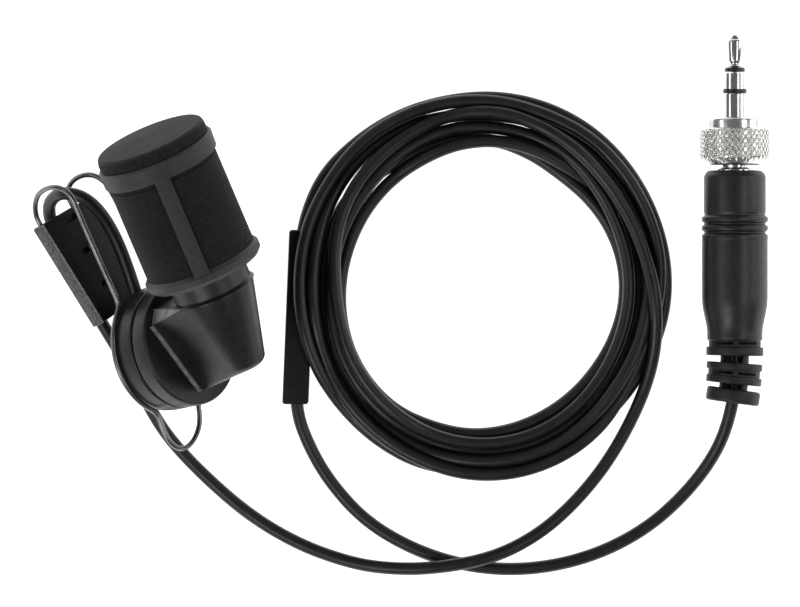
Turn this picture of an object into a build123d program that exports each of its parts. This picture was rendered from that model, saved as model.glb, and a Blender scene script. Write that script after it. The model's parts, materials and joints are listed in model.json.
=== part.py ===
# Clip-on condenser microphone with a locking 3.5 mm plug, laid out flat on a table.
# Millimetres, +Z up.  The microphone rides in a socket on a swivel disc; the disc
# sits on a spring-wire clothing clip; one thin cable runs from the clip, round a
# loose coil, through a marker sleeve, to the plug.
from build123d import *
import math
import os

os.makedirs("parts", exist_ok=True)

# ------------------------------------------------------------------ driving sizes
CABLE_D = 1.9            # outer diameter of the microphone cable
LEAD_D = 1.7             # inner lead inside the swivel

# whole object is shifted so the origin is under the middle of microphone and clip
SHIFT_X = 37.18
SHIFT_Y = -2.314

# swivel: disc axis leans out of the vertical
SWIVEL_LEAN = 45.5       # degrees between the swivel axis and +Z
SWIVEL_TURN = 12.0       # degrees from +X to the axis' horizontal direction
MIC_RISE = 14.5          # degrees the microphone's nose rises above the table
DISC_X, DISC_Y, DISC_Z = -30.587, -5.634, 11.80
DISC_R = 9.3
DISC_T = 2.8             # each of the two stacked discs
DISC_GAP = 0.15
BOSS_R = 9.15            # step behind the base disc that the wire runs round
BOSS_T = 1.1

# microphone, along its own axis from the underside of the basket flange
MIC_UP = 10.15           # flange underside above the swivel axis
MIC_OUT = 9.21           # microphone axis in front of the disc face
FLANGE_R = 8.85
FLANGE_H = 2.0
MESH_R = 8.3
MESH_T = 0.35
MESH_TOP = 16.9
RING_R = 8.7
RING_TOP = 19.6
CAP_R = 8.4
STRUT_W = 2.35
STRUT_R = 8.72
STRUT_ANGLES = (222.0, 342.0, 102.0)
NECK_R = 5.9
NECK_DROP = 2.85         # bare neck between flange and socket rim
SOCKET_R1 = 6.2          # socket outside radius at its rim
SOCKET_R2 = 3.0          # and at its lower end
SOCKET_H = 12.8
CAPSULE_R = 4.9

# clip
WIRE_D = 0.78
WIRE_W = -6.35           # plane of the wire behind the disc face
WIRE_RUN_R = 9.60        # radius of the wire's run round the boss
JAW_TILT = 10.0
JAW_L = 17.0
JAW_W = 9.0
JAW_T = 2.45
JAW_PIVOT_S = 15.45      # pivot along the jaw from its gripping end
JAW_PIVOT_K = 1.2

# plug, along its own axis from the moulded body's shoulder towards the tip
PLUG_X, PLUG_Y, PLUG_Z = 49.21, 19.63, 5.20
SHAFT_R = 1.75
SHAFT_FOOT = 7.65
NUT_R = 5.18
NUT_RIM_R = 4.63
NUT_BORE_R = 2.06
NECK_PIN_R = 2.0
BODY_R = 4.83

# marker sleeve on the cable
MARK_L, MARK_W, MARK_H = 25.9, 3.7, 2.9
MARK_X, MARK_Y, MARK_TURN = -14.81, -2.00, -2.0

# coil outline: inner and outer radius every 15 degrees about its centre
COIL_X, COIL_Y = 12.095, 2.286
COIL_H = 4.8
COIL_OUT = (27.9, 28.1, 28.5, 28.9, 29.2, 29.1, 29.1, 28.8, 28.8, 29.2, 29.1, 27.7,
            27.3, 27.5, 28.0, 28.3, 28.4, 28.6, 28.6, 28.3, 28.0, 27.8, 27.7, 27.7)
COIL_IN = (20.4, 20.5, 20.2, 19.9, 19.9, 20.4, 20.4, 19.9, 19.7, 19.5, 19.5, 19.8,
           20.4, 20.9, 20.9, 21.2, 21.3, 21.4, 21.0, 20.3, 19.7, 19.6, 19.6, 19.9)

# ------------------------------------------------------------------ frames
lean, turn, rise = (math.radians(q) for q in (SWIVEL_LEAN, SWIVEL_TURN, MIC_RISE))
N = Vector(math.sin(lean) * math.cos(turn), math.sin(lean) * math.sin(turn), math.cos(lean))
hd = Vector(-0.3875, 0.9219, 0).normalized()
AXIS = Vector(hd.X * math.cos(rise), hd.Y * math.cos(rise), math.sin(rise))
U = (AXIS - N * AXIS.dot(N)).normalized()
V = U.cross(N)
C = Vector(DISC_X + SHIFT_X, DISC_Y + SHIFT_Y, DISC_Z)


def D(al, be, w):
    """Point in the clip's frame: al up the clip, be across it, w out of the disc face."""
    return C + U * al + V * be + N * w


def T(x, y, z):
    """Point on the table, in the unshifted layout."""
    return Vector(x + SHIFT_X, y + SHIFT_Y, z)


def disc_plane(w=0.0, al=0.0, be=0.0):
    return Plane(origin=D(al, be, w), x_dir=V, z_dir=N)


MIC0 = D(MIC_UP, 0, MIC_OUT)
MICY = AXIS.cross(V)


def mic_plane(t=0.0):
    return Plane(origin=MIC0 + AXIS * t, x_dir=V, z_dir=AXIS)


def plug_plane(q=0.0):
    return Plane(origin=Vector(PLUG_X + SHIFT_X, PLUG_Y + SHIFT_Y + q, PLUG_Z),
                 x_dir=(1, 0, 0), z_dir=(0, 1, 0))


def plug_profile():
    """Half-plane whose y runs along the plug and x is the radius."""
    return Plane(origin=Vector(PLUG_X + SHIFT_X, PLUG_Y + SHIFT_Y, PLUG_Z),
                 x_dir=(1, 0, 0), z_dir=(0, 0, 1))


def mic_profile():
    return Plane(origin=MIC0, x_dir=V, z_dir=V.cross(AXIS))


def disc_profile():
    return Plane(origin=C, x_dir=V, z_dir=V.cross(N))


plug_axis = Axis(Vector(PLUG_X + SHIFT_X, PLUG_Y + SHIFT_Y, PLUG_Z), (0, 1, 0))
mic_axis = Axis(MIC0, AXIS)
swivel_axis = Axis(C, N)

nodes = []


def save(part, label):
    part.label = label
    export_step(part, "parts/" + label + ".step")
    nodes.append(label)


# ================================================================== microphone
# open cage: rounded bottom flange, three struts, deep top ring
with BuildPart() as cage:
    with BuildSketch(mic_profile()):
        with BuildLine():
            Polyline((6.5, 0), (FLANGE_R - 0.55, 0), (FLANGE_R, 0.6), (FLANGE_R, 1.45),
                     (FLANGE_R - 0.45, FLANGE_H), (6.5, FLANGE_H), (6.5, 0))
        make_face()
    revolve(axis=mic_axis)
    with BuildSketch(mic_profile()):
        with BuildLine():
            Polyline((7.5, MESH_TOP), (RING_R - 0.12, MESH_TOP), (RING_R, MESH_TOP + 0.15),
                     (RING_R + 0.1, RING_TOP - 0.35), (RING_R - 0.15, RING_TOP),
                     (7.5, RING_TOP), (7.5, MESH_TOP))
        make_face()
    revolve(axis=mic_axis)
    with BuildSketch(mic_plane(1.6)):
        for ang in STRUT_ANGLES:
            with Locations(Location((0, 0, 0), (0, 0, ang))):
                with Locations((8.1, 0)):
                    Rectangle(2.4, STRUT_W)
        Circle(STRUT_R, mode=Mode.INTERSECT)
        Circle(MESH_R + 0.02, mode=Mode.SUBTRACT)
    extrude(amount=MESH_TOP - 1.3)
save(cage.part, "windscreen_cage")

# woven side gauze, a thin tube between flange and top ring
with BuildPart() as gauze:
    with BuildSketch(mic_plane(FLANGE_H)):
        Circle(MESH_R)
        Circle(MESH_R - MESH_T, mode=Mode.SUBTRACT)
    extrude(amount=MESH_TOP - FLANGE_H)
save(gauze.part, "side_gauze")

# slightly domed cloth cap over the top ring
with BuildPart() as cap:
    with BuildSketch(mic_profile()):
        with BuildLine():
            Polyline((0, RING_TOP), (CAP_R - 0.1, RING_TOP), (CAP_R, RING_TOP + 0.3),
                     (CAP_R - 0.05, RING_TOP + 0.95), (CAP_R - 0.2, RING_TOP + 1.2),
                     (CAP_R - 0.6, RING_TOP + 1.38), (6.0, RING_TOP + 1.56), (3.0, RING_TOP + 1.7),
                     (0, RING_TOP + 1.75), (0, RING_TOP))
        make_face()
    revolve(axis=mic_axis)
save(cap.part, "top_gauze_cap")

# acoustic foam cup inside the gauze
with BuildPart() as foam:
    with BuildSketch(mic_plane(FLANGE_H + 0.1)):
        Circle(MESH_R - MESH_T - 0.55)
    extrude(amount=RING_TOP - FLANGE_H - 0.2)
    with BuildSketch(mic_plane(FLANGE_H + 0.1)):
        Circle(5.75)
    extrude(amount=14.4, mode=Mode.SUBTRACT)
save(foam.part, "foam_liner")

# neck: spigot in the flange, bare band, tapered plug in the socket
NECK_TAPER = (SOCKET_R1 - SOCKET_R2) / SOCKET_H
with BuildPart() as neck:
    with BuildSketch(mic_profile()):
        with BuildLine():
            Polyline((2.2, 1.9), (6.45, 1.9), (6.45, 0), (NECK_R, -0.05),
                     (NECK_R, -NECK_DROP + 0.05), (5.30, -NECK_DROP + 0.05),
                     (5.30 - NECK_TAPER * 1.2, -NECK_DROP - 1.15),
                     (4.55, -NECK_DROP - 1.15), (4.55, -NECK_DROP - 1.95),
                     (5.30 - NECK_TAPER * 2.0, -NECK_DROP - 1.95),
                     (5.30 - NECK_TAPER * 4.2, -NECK_DROP - 4.15),
                     (1.6, -NECK_DROP - 4.15), (1.6, -3.2), (2.2, -3.2), (2.2, 1.9))
        make_face()
    revolve(axis=mic_axis)
save(neck.part, "mic_neck")

# rubber ring in the neck's groove, which grips the socket
with BuildPart() as oring:
    with BuildSketch(mic_profile()):
        with Locations((4.69, -NECK_DROP - 1.55)):
            Rectangle(0.24, 0.74)
    revolve(axis=mic_axis)
save(oring.part, "neck_seal_ring")

# rubber boot that holds the capsule on the neck
with BuildPart() as boot:
    with BuildSketch(mic_plane(1.95)):
        Circle(5.6)
        Circle(3.9, mode=Mode.SUBTRACT)
    extrude(amount=7.0)
    with BuildSketch(mic_plane(5.9)):
        Circle(CAPSULE_R)
    extrude(amount=3.2, mode=Mode.SUBTRACT)
save(boot.part, "capsule_boot")

# condenser capsule: can, front screen, diaphragm, spacer, back plate, circuit board
with BuildPart() as can:
    with BuildSketch(mic_plane(5.95)):
        Circle(CAPSULE_R - 0.02)
    extrude(amount=8.0)
    with BuildSketch(mic_plane(5.95)):
        Circle(CAPSULE_R - 0.35)
    extrude(amount=7.7, mode=Mode.SUBTRACT)
    with BuildSketch(mic_plane(13.6)):
        Circle(0.45)
        with PolarLocations(1.7, 6):
            Circle(0.45)
        with PolarLocations(3.3, 12):
            Circle(0.45)
    extrude(amount=0.5, mode=Mode.SUBTRACT)
save(can.part, "capsule_can")

with BuildPart() as dring:
    with BuildSketch(mic_plane(13.20)):
        Circle(CAPSULE_R - 0.4)
        Circle(CAPSULE_R - 1.2, mode=Mode.SUBTRACT)
    extrude(amount=0.4)
save(dring.part, "diaphragm_ring")

with BuildPart() as dia:
    with BuildSketch(mic_plane(13.10)):
        Circle(CAPSULE_R - 0.4)
    extrude(amount=0.08)
save(dia.part, "diaphragm")

with BuildPart() as spacer:
    with BuildSketch(mic_plane(12.85)):
        Circle(CAPSULE_R - 0.4)
        Circle(CAPSULE_R - 1.2, mode=Mode.SUBTRACT)
    extrude(amount=0.23)
save(spacer.part, "spacer_ring")

with BuildPart() as back:
    with BuildSketch(mic_plane(12.0)):
        Circle(CAPSULE_R - 0.4)
        with PolarLocations(2.2, 6):
            Circle(0.4, mode=Mode.SUBTRACT)
    extrude(amount=0.83)
save(back.part, "backplate")

with BuildPart() as pcb:
    with BuildSketch(mic_plane(6.2)):
        Circle(CAPSULE_R - 0.4)
    extrude(amount=0.8)
    with BuildSketch(mic_plane(7.0)):
        with Locations((0, 1.2)):
            Rectangle(2.4, 1.3)
        with Locations((-1.6, -1.5), (1.6, -1.5)):
            Rectangle(1.0, 0.5)
    extrude(amount=0.9)
save(pcb.part, "preamp_board")

with BuildPart() as contact:
    with BuildSketch(mic_plane(7.05)):
        Circle(CAPSULE_R - 0.4)
        Circle(CAPSULE_R - 1.0, mode=Mode.SUBTRACT)
    extrude(amount=4.9)
save(contact.part, "backplate_holder")

# grommet where the lead enters the neck
with BuildPart() as grommet:
    with BuildSketch(mic_profile()):
        with BuildLine():
            Polyline((LEAD_D / 2 + 0.01, -3.1), (2.15, -3.1), (2.15, 0.6), (1.6, 0.9),
                     (LEAD_D / 2 + 0.01, 0.9), (LEAD_D / 2 + 0.01, -3.1))
        make_face()
    revolve(axis=mic_axis)
save(grommet.part, "lead_grommet")

# inner lead: from the board, down the neck, bending into the hollow swivel
lead_top = MIC0 + AXIS * 5.9
with BuildPart() as lead:
    with BuildLine() as lead_line:
        FilletPolyline(lead_top, MIC0 + AXIS * (-MIC_UP + 1.7), D(0, 0, MIC_OUT - 2.2),
                       D(0, 0, -7.28), radius=[1.35, 1.35])
    with BuildSketch(Plane(origin=lead_top, z_dir=-AXIS)):
        Circle(LEAD_D / 2)
    sweep()
save(lead.part, "inner_lead")

# ================================================================== swivel holder
# tapered socket with flat flanks that run down to the disc, on a round disc
SOCK_T = NECK_DROP                      # rim below the flange
with BuildPart() as holder:
    with BuildSketch(disc_plane(-DISC_T)):
        Circle(DISC_R)
    extrude(amount=DISC_T)
    fillet(holder.edges().filter_by(GeomType.CIRCLE), 0.45)
    # cone round the microphone axis
    with BuildSketch(mic_plane(-SOCK_T)):
        Circle(SOCKET_R1)
    with BuildSketch(mic_plane(-SOCK_T - SOCKET_H)):
        Circle(SOCKET_R2)
    loft()
    # flanks: a tapered web between the cone and the disc
    with BuildSketch(disc_plane(-0.3)):
        with BuildLine():
            Polyline((-5.75, MIC_UP - SOCK_T - 0.05), (5.75, MIC_UP - SOCK_T - 0.05),
                     (1.75, -7.1), (-1.75, -7.1), (-5.75, MIC_UP - SOCK_T - 0.05))
        make_face()
    with BuildSketch(disc_plane(MIC_OUT)):
        with BuildLine():
            Polyline((-SOCKET_R1 + 0.02, MIC_UP - SOCK_T - 0.14), (SOCKET_R1 - 0.02, MIC_UP - SOCK_T - 0.14),
                     (SOCKET_R2 - 0.02, MIC_UP - SOCK_T - SOCKET_H + 0.1),
                     (-SOCKET_R2 + 0.02, MIC_UP - SOCK_T - SOCKET_H + 0.1),
                     (-SOCKET_R1 + 0.02, MIC_UP - SOCK_T - 0.14))
        make_face()
    loft()
    # tapered bore for the neck
    with BuildSketch(mic_plane(-SOCK_T + 0.3)):
        Circle(5.33 + NECK_TAPER * 0.3)
    with BuildSketch(mic_plane(-SOCK_T - 4.4)):
        Circle(5.33 - NECK_TAPER * 4.4)
    loft(mode=Mode.SUBTRACT)
    # cavity for the lead, then the way through the disc
    with BuildSketch(mic_plane(-SOCK_T - 4.3)):
        Circle(3.1)
    with BuildSketch(mic_plane(-SOCK_T - 9.6)):
        Circle(2.4)
    loft(mode=Mode.SUBTRACT)
    with BuildSketch(disc_plane(0.0)):
        Circle(3.25)
    with BuildSketch(disc_plane(MIC_OUT)):
        Circle(2.2)
    loft(mode=Mode.SUBTRACT)
    with BuildSketch(disc_plane(-DISC_T - 0.1)):
        Circle(2.27)
    extrude(amount=DISC_T + 0.3, mode=Mode.SUBTRACT)
save(holder.part, "swivel_holder")

# spring washer between the discs
with BuildPart() as washer:
    with BuildSketch(disc_plane(-DISC_T - DISC_GAP + 0.02)):
        Circle(6.5)
        Circle(2.4, mode=Mode.SUBTRACT)
    extrude(amount=DISC_GAP - 0.05)
save(washer.part, "detent_washer")

# base disc with the step that the wire runs round and three wire keepers
BASE_TOP = -DISC_T - DISC_GAP
BASE_BOT = BASE_TOP - DISC_T
BOSS_BOT = BASE_BOT - BOSS_T
with BuildPart() as base:
    with BuildSketch(disc_plane(BASE_BOT)):
        Circle(DISC_R)
    extrude(amount=DISC_T)
    fillet(base.edges().filter_by(GeomType.CIRCLE), 0.4)
    with BuildSketch(disc_plane(BOSS_BOT)):
        Circle(BOSS_R)
    extrude(amount=BOSS_T + 0.2)
    with BuildSketch(disc_plane(BOSS_BOT - 0.45)):
        for ang in (-52.0, 52.0, 205.0):
            with Locations(Location((0, 0, 0), (0, 0, ang))):
                with Locations((9.25, 0)):
                    Rectangle(1.7, 2.2)
        Circle(7.6)
    extrude(amount=0.45)
    with BuildSketch(disc_plane(BASE_BOT - 3)):
        Circle(2.2)
    extrude(amount=8, mode=Mode.SUBTRACT)
save(base.part, "clip_base_disc")

# hollow rivet that holds the two discs together
RIV_BACK = BOSS_BOT - 0.45
with BuildPart() as rivet:
    with BuildSketch(disc_profile()):
        with BuildLine():
            Polyline((1.15, 0.75), (2.7, 0.75), (2.95, 0.5), (2.95, 0.05), (2.19, 0.05),
                     (2.19, RIV_BACK + 0.02), (1.15, RIV_BACK + 0.02), (1.15, 0.75))
        make_face()
    revolve(axis=swivel_axis)
save(rivet.part, "swivel_rivet")

# elbow behind the base disc that turns the cable up the clip
ELB_W = -8.55
with BuildPart() as elbow:
    with BuildSketch(Plane(origin=D(-0.1, 0.9, RIV_BACK - 0.02), x_dir=V, z_dir=-N)):
        RectangleRounded(4.4, 6.2, 1.2)
    extrude(amount=2.35)
    fillet(elbow.faces().sort_by(Axis(C, N))[0].edges(), 0.6)
save(elbow.part, "cable_elbow")

# ================================================================== clip
tilt = math.radians(JAW_TILT)


def J(s, be, k):
    """Point in the jaw's frame: s along it from the gripping end, k towards the disc."""
    al = 6.7 + s * math.cos(tilt) + k * math.sin(tilt)
    w = -13.0 - s * math.sin(tilt) + k * math.cos(tilt)
    return D(al, be, w)


JS = (J(1, 0, 0) - J(0, 0, 0)).normalized()
JK = (J(0, 0, 1) - J(0, 0, 0)).normalized()
PIN = J(JAW_PIVOT_S, 0, JAW_PIVOT_K)


def jaw_plane(k=0.0):
    return Plane(origin=J(0, 0, k), x_dir=V, z_dir=JK)


with BuildPart() as jaw:
    # x is across the jaw, y runs along it; the far end is cut slightly askew
    with BuildSketch(jaw_plane(0)) as jsk:
        sgn = 1 if jaw_plane(0).y_dir.dot(JS) > 0 else -1
        with BuildLine():
            Polyline((-JAW_W / 2, 0), (JAW_W / 2, 0), (JAW_W / 2, sgn * (JAW_L - 1.1)),
                     (JAW_W / 2 - 1.0, sgn * (JAW_L - 0.2)), (-JAW_W / 2, sgn * JAW_L), (-JAW_W / 2, 0))
        make_face()
    extrude(amount=JAW_T)
    # recess in the back, leaving a rim, and two moulding slots in the front
    with BuildSketch(jaw_plane(-0.01)):
        with Locations((0, sgn * 6.4)):
            RectangleRounded(6.4, 9.6, 0.8)
    extrude(amount=1.0, mode=Mode.SUBTRACT)
    with BuildSketch(jaw_plane(JAW_T + 0.01)):
        with Locations((-1.2, sgn * 13.2)):
            Rectangle(2.6, 0.9)
        with Locations((-1.9, sgn * 9.2)):
            Rectangle(1.7, 0.8)
        with Locations((-2.6, sgn * 3.6)):
            Rectangle(0.9, 0.8)
    extrude(amount=-0.6, mode=Mode.SUBTRACT)
    # gripping teeth beside the cable's way
    for row in (0.5, 1.5, 2.5):
        with BuildSketch(Plane(origin=J(row, 0, JAW_T - 0.02), x_dir=V, z_dir=JK)):
            with Locations((-3.1, 0), (3.9, 0)):
                Rectangle(2.4, 0.45)
            Rectangle(JAW_W - 0.2, 2, mode=Mode.INTERSECT)
        extrude(amount=0.45)
    # pivot holes from each side for the wire's ends
    with BuildSketch(Plane(origin=PIN - V * (JAW_W / 2 + 1), x_dir=JS, z_dir=V)):
        Circle(WIRE_D / 2 + 0.05)
    extrude(amount=1 + 2.4, mode=Mode.SUBTRACT)
    with BuildSketch(Plane(origin=PIN + V * (JAW_W / 2 + 1), x_dir=JS, z_dir=-V)):
        Circle(WIRE_D / 2 + 0.05)
    extrude(amount=1 + 2.4, mode=Mode.SUBTRACT)
save(jaw.part, "clip_jaw")

# soft grip strip in the jaw's recess at the back, the side that lies on the table
with BuildPart() as pad:
    with BuildSketch(jaw_plane(0.05)):
        with Locations((0, sgn * 6.4)):
            RectangleRounded(6.3, 9.5, 0.75)
    extrude(amount=0.93)
save(pad.part, "jaw_back_pad")

# spring wire: pin, loop, leg, run round the boss, bottom loop, and back
def on_run(deg, r):
    return (r * math.cos(math.radians(deg)), r * math.sin(math.radians(deg)))


half = 15.0
RV = WIRE_RUN_R / math.cos(math.radians(half))
left_run = [on_run(-(54 + 29.5 * i), RV) for i in range(0, 3)]       # (al, be)
right_run = [on_run(54 + 29.5 * i, RV) for i in range(0, 3)]
wp = []                                                            # (point, radius)
pin_in = PIN - V * 2.3
pin_out = PIN - V * (JAW_W / 2 + 0.78)
wp.append((pin_in, None))
wp.append((pin_out, 0.8))
wp.append((D(27.7, -4.95, -13.9), 2.1))
wp.append((D(30.2, -4.5, -10.2), 2.2))
wp.append((D(29.1, -4.1, WIRE_W), 2.2))
wp.append((D(9.15, -3.9, WIRE_W), 1.6))
for i, (al, be) in enumerate(left_run):
    wp.append((D(al, be, WIRE_W), 8.2 if i < 2 else 7.5))
wp.append((D(-6.35, -7.35, WIRE_W), 5.0))
wp.append((D(-12.3, -6.9, WIRE_W), 2.4))
wp.append((D(-15.6, -4.5, WIRE_W), 1.5))
wp.append((D(-13.0, 0.95, WIRE_W), 2.6))
# the second leg of the bottom loop rejoins the run on the other side
wp.append((D(-9.95, 1.75, WIRE_W), 1.3))
wp.append((D(-8.75, 4.65, WIRE_W), 5.0))
wp.append((D(-6.9, 7.2, WIRE_W), 6.0))
for i, (al, be) in enumerate(reversed(right_run)):
    wp.append((D(al, be, WIRE_W), 7.5 if i == 0 else 8.2))
wp.append((D(9.15, 3.9, WIRE_W), 1.6))
wp.append((D(27.0, 4.0, WIRE_W), 2.2))
wp.append((D(28.6, 4.2, -10.2), 2.2))
wp.append((D(26.9, 4.9, -13.9), 1.6))
wp.append((PIN + V * (JAW_W / 2 + 0.78), 0.8))
wp.append((PIN + V * 2.3, None))
wire_pts = [p for p, r in wp]
with BuildPart() as wire:
    with BuildLine() as wire_line:
        FilletPolyline(*wire_pts, radius=[r for p, r in wp[1:-1]])
    with BuildSketch(Plane(origin=wire_pts[0], z_dir=wire_pts[1] - wire_pts[0])):
        Circle(WIRE_D / 2)
    sweep()
save(wire.part, "spring_wire")

# ================================================================== cable
def tube(label, pts, dia):
    """Straight runs joined by arcs as large as the two runs at each corner allow."""
    radii = []
    for i in range(1, len(pts) - 1):
        a, b = pts[i] - pts[i - 1], pts[i + 1] - pts[i]
        half_turn = math.radians(a.get_angle(b)) / 2
        radii.append(0.45 * min(a.length, b.length) / math.tan(half_turn))
    with BuildPart() as t:
        with BuildLine() as path:
            FilletPolyline(*pts, radius=radii)
        with BuildSketch(Plane(origin=pts[0], z_dir=pts[1] - pts[0])):
            Circle(dia / 2)
        sweep()
    length = path.line.length if hasattr(path.line, "length") else sum(e.length for e in path.edges())
    want = math.pi * dia * dia / 4 * length
    print(label, "length", round(length, 1), "radii", [round(r, 1) for r in radii],
          "volume", round(t.part.volume, 1), "of", round(want, 1))
    save(t.part, label)
    return length


# over the clip: out of the elbow, up between the wire's legs, over the jaw and down behind it
loop_pts = [D(3.0, 0.9, ELB_W), D(6.2, 1.35, ELB_W + 0.25), D(10.8, 2.15, -8.2), D(16.6, 2.6, -7.95),
            D(21.9, 1.9, -7.85), D(26.3, -0.7, -8.2), D(28.6, -1.9, -10.2), D(28.4, -1.2, -13.6),
            D(25.4, 0.3, -16.7), D(20.0, 1.0, -18.0), D(13.5, 0.9, -17.7), D(7.2, 0.75, -16.85),
            T(-42.1, -5.9, 0.98)]
loop_len = tube("cable_clip_loop", loop_pts, CABLE_D)

# from under the discs, across the table and over the plug's run to the coil
mic_pts = [T(-42.1, -5.9, 0.98), T(-39.1, -10.8, 1.0), T(-36.9, -15.4, 0.96), T(-34.0, -20.0, 0.96),
           T(-28.8, -25.5, 0.96), T(-22.1, -31.3, 0.96), T(-14.8, -35.6, 0.96), T(-7.1, -38.3, 1.05),
           T(-1.2, -39.1, 2.1), T(5.0, -39.0, 3.1), T(13.3, -37.6, 3.15), T(20.1, -34.3, 1.9),
           T(25.8, -29.4, 1.0), T(31.1, -22.8, 0.96), T(35.2, -15.3, 1.5), T(37.3, -9.2, 2.6)]
mic_len = tube("cable_mic_run", mic_pts, CABLE_D)

# from the plug's boot down to the table and round to the marker sleeve
PLUG_END = Vector(PLUG_X + SHIFT_X - 0.35, PLUG_Y + SHIFT_Y - 34.1, PLUG_Z - 0.15)
plug_pts = [PLUG_END, T(48.3, -17.6, 4.55), T(46.1, -22.8, 2.6), T(41.7, -28.5, 1.15), T(35.8, -33.6, 0.96),
            T(28.1, -37.4, 0.96), T(19.2, -39.3, 0.96), T(10.4, -38.9, 0.96), T(2.2, -36.4, 0.96),
            T(-5.2, -32.1, 0.96), T(-10.7, -25.9, 0.96), T(-13.85, -20.1, 1.1), T(-15.25, -15.1, 1.4)]
plug_len = tube("cable_plug_run", plug_pts, CABLE_D)

# short stretch between the marker sleeve and the coil
link_pts = [T(-14.32, 10.95, 1.4), T(-13.6, 15.0, 1.2), T(-11.6, 19.0, 1.0), T(-8.0, 22.6, 0.96)]
link_len = tube("cable_marker_link", link_pts, CABLE_D)

# marker sleeve: flat-sided, round-ended tag moulded round the cable
with BuildPart() as mark:
    with BuildSketch(Plane(origin=T(MARK_X, MARK_Y, 0.02), x_dir=Vector(1, 0, 0).rotate(Axis.Z, MARK_TURN),
                           z_dir=(0, 0, 1))):
        RectangleRounded(MARK_W, MARK_L, 0.9)
    extrude(amount=MARK_H - 0.04)
    fillet(mark.faces().sort_by(Axis.Z)[-1].edges(), 0.45)
save(mark.part, "cable_marker")

# coil: the outer shape of the loose turns
def ring_pts(rr):
    return [T(COIL_X + r * math.cos(math.radians(15 * i)), COIL_Y + r * math.sin(math.radians(15 * i)), 0)
            for i, r in enumerate(rr)]


with BuildPart() as coil:
    with BuildSketch():
        with BuildLine():
            Spline(*ring_pts(COIL_OUT), periodic=True)
        make_face()
        with BuildLine():
            Spline(*ring_pts(COIL_IN), periodic=True)
        make_face(mode=Mode.SUBTRACT)
    extrude(amount=COIL_H)
    # room for the marker sleeve and its cable, which the turns lie on
    with BuildSketch(Plane(origin=T(MARK_X, MARK_Y, -0.1), x_dir=Vector(1, 0, 0).rotate(Axis.Z, MARK_TURN),
                           z_dir=(0, 0, 1))):
        Rectangle(MARK_W + 0.2, MARK_L + 0.2)
    extrude(amount=MARK_H + 0.2, mode=Mode.SUBTRACT)
save(coil.part, "cable_coil")
coil_turns = 6.5
coil_len = coil_turns * 2 * math.pi * (sum(COIL_OUT) + sum(COIL_IN)) / 48
print("cable length in all about", round(loop_len + mic_len + plug_len + link_len + MARK_L + coil_len, 0))

# ================================================================== plug
def plug_turn(label, pts):
    with BuildPart() as p:
        with BuildSketch(plug_profile()):
            with BuildLine():
                Polyline(*pts, pts[0])
            make_face()
        revolve(axis=plug_axis)
    save(p.part, label)


# contacts stand one behind the other, each with a tail inside the next
plug_turn("plug_tip", [(0, 19.85), (0.42, 19.7), (0.66, 19.3), (0.72, 18.95), (1.0, 18.8), (1.13, 18.5),
                       (1.12, 17.6), (0.95, 15.95), (0.82, 15.75), (0.84, 15.45), (1.1, 15.2),
                       (0.42, 15.1), (0.42, 3.0), (0, 3.0)])
plug_turn("tip_insulator", [(0.44, 15.08), (1.32, 15.08), (1.5, 14.9), (1.5, 14.45), (0.74, 14.45),
                            (0.74, 4.5), (0.44, 4.5)])
plug_turn("plug_ring", [(0.76, 14.42), (1.5, 14.42), (SHAFT_R, 14.2), (SHAFT_R, 11.9), (1.02, 11.9),
                        (1.02, 5.5), (0.76, 5.5)])
plug_turn("ring_insulator", [(1.04, 11.87), (SHAFT_R, 11.87), (SHAFT_R, 11.32), (1.28, 11.32),
                             (1.28, 6.2), (1.04, 6.2)])
# the sleeve's base is wider, up to the nut's mouth
plug_turn("plug_sleeve", [(1.3, 11.29), (SHAFT_R, 11.29), (SHAFT_R, SHAFT_FOOT), (2.6, SHAFT_FOOT),
                          (2.6, 5.0), (NECK_PIN_R, 5.0), (NECK_PIN_R, 3.6), (2.95, 3.6), (2.95, 2.75),
                          (NECK_PIN_R, 2.75), (NECK_PIN_R, 0.0), (2.9, -0.1), (2.9, -6.5),
                          (1.3, -6.5)])
# insulating core with the solder lugs, inside the moulded body
plug_turn("solder_core", [(0.0, 2.9), (0.4, 2.9), (1.25, 2.4), (1.25, -7.2), (2.3, -7.2), (2.3, -11.0),
                          (0.0, -11.0)])

# captive locking nut: smooth rim, knurled band, threaded mouth
with BuildPart() as nut:
    with BuildSketch(plug_profile()):
        with BuildLine():
            Polyline((3.15, 7.6), (NUT_RIM_R - 0.3, 7.6), (NUT_RIM_R, 7.3), (NUT_RIM_R, 6.05), (NUT_R - 0.3, 6.0),
                     (NUT_R, 5.75), (NUT_R, 1.85), (NUT_R - 0.9, 0.75), (NUT_BORE_R + 1.4, 0.7), (NUT_BORE_R, 1.0),
                     (NUT_BORE_R, 2.6), (3.1, 2.6), (3.1, 4.0), (3.3, 4.2), (3.3, 7.4), (3.15, 7.6))
        make_face()
    revolve(axis=plug_axis)
save(nut.part, "locking_nut")

# moulded body with three grip beads
with BuildPart() as body:
    with BuildSketch(plug_profile()):
        with BuildLine():
            Polyline((2.95, -0.15), (3.6, -0.02), (4.2, -0.25), (4.5, -0.8), (4.55, -1.3), (4.55, -6.0),
                     (4.86, -6.25), (4.86, -6.75), (4.6, -6.95), (4.6, -7.15), (4.86, -7.35), (4.86, -7.85),
                     (4.6, -8.05), (4.6, -8.25), (4.86, -8.45), (4.86, -8.95), (BODY_R, -9.3),
                     (BODY_R, -19.75), (4.06, -23.5), (4.06, -25.05), (3.7, -25.2), (1.6, -25.2),
                     (1.6, -11.05), (2.95, -11.05), (2.95, -0.15))
        make_face()
    revolve(axis=plug_axis)
save(body.part, "plug_body")

# crimp clamp that holds the cable inside the body
plug_turn("cable_clamp", [(0.98, -11.1), (1.55, -11.1), (1.55, -16.0), (0.98, -16.0)])

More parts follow.
